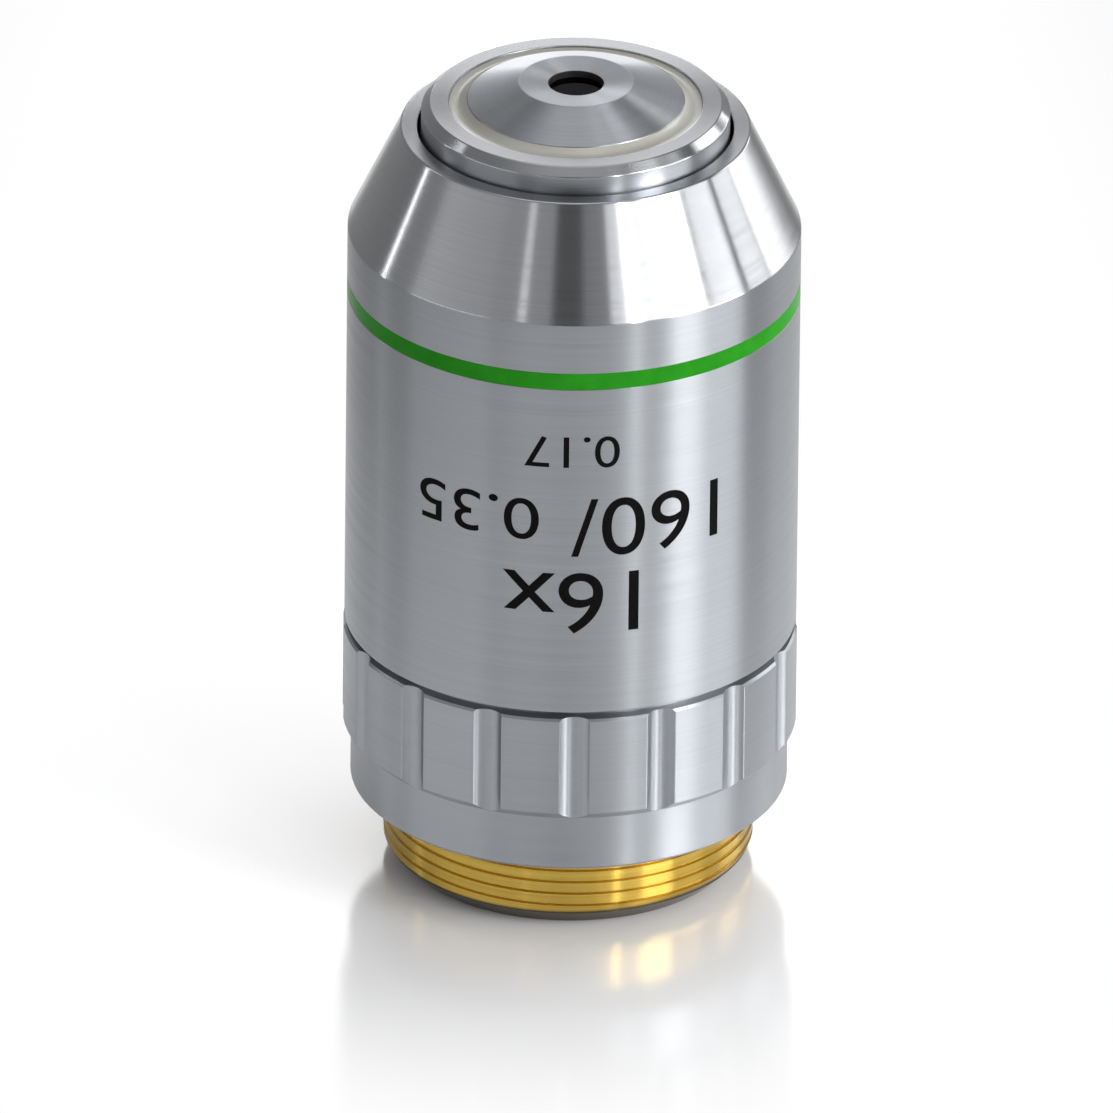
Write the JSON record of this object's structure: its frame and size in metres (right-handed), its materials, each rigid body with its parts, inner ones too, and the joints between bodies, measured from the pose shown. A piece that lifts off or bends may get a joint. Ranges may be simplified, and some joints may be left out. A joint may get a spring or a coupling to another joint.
{
  "type": "microscope objective",
  "caption": "Cylindrical microscope objective with a fluted grip, a brass mounting thread, a green colour band and a sprung nose that slides back into the sleeve.",
  "frame": {"origin": "centre of the seating shoulder, where the mounting thread leaves the grip", "axes": "+Z along the optical axis towards the front lens, -Y towards the guide screw"},
  "size_m": [0.0248, 0.0248, 0.0469],
  "materials": {
    "satin_plate": "satin plated, fine turning lines",
    "thread_brass": "bare turned brass",
    "band_enamel": "gloss enamel",
    "black_metal": "matt black",
    "spring_steel": "bright drawn wire",
    "lens_glass": "coated optical glass",
    "rim_cement": "milky cement"
  },
  "bodies": {
    "sleeve_body": {"mount_thread": "thread_brass", "grip_body": "satin_plate", "outer_sleeve": "satin_plate", "colour_band": "band_enamel", "stop_ring": "black_metal", "nose_spring": "spring_steel", "guide_screw": "spring_steel"},
    "sliding_nose": {"nose_barrel": "satin_plate", "front_cell": "satin_plate", "front_lens": "lens_glass", "cement_ring": "rim_cement", "meniscus_cell": "black_metal", "meniscus_lens": "lens_glass", "doublet_cell": "black_metal", "doublet_flint": "lens_glass", "doublet_crown": "lens_glass", "spacer_ring": "black_metal", "triplet_cell": "black_metal", "triplet_rear_flint": "lens_glass", "triplet_crown": "lens_glass", "triplet_front_flint": "lens_glass", "long_spacer": "black_metal", "rear_cell": "black_metal", "rear_crown": "lens_glass", "rear_flint": "lens_glass", "aperture_stop": "black_metal", "retaining_ring": "black_metal"}
  },
  "joints": [
    {"name": "nose_retract", "type": "slide", "parent": "sleeve_body", "child": "sliding_nose", "axis": [0, 0, -1], "range_m": [0, 0.002], "stiffness_N_per_m": 800, "springref_m": -0.003, "deforming": ["nose_spring"]}
  ]
}
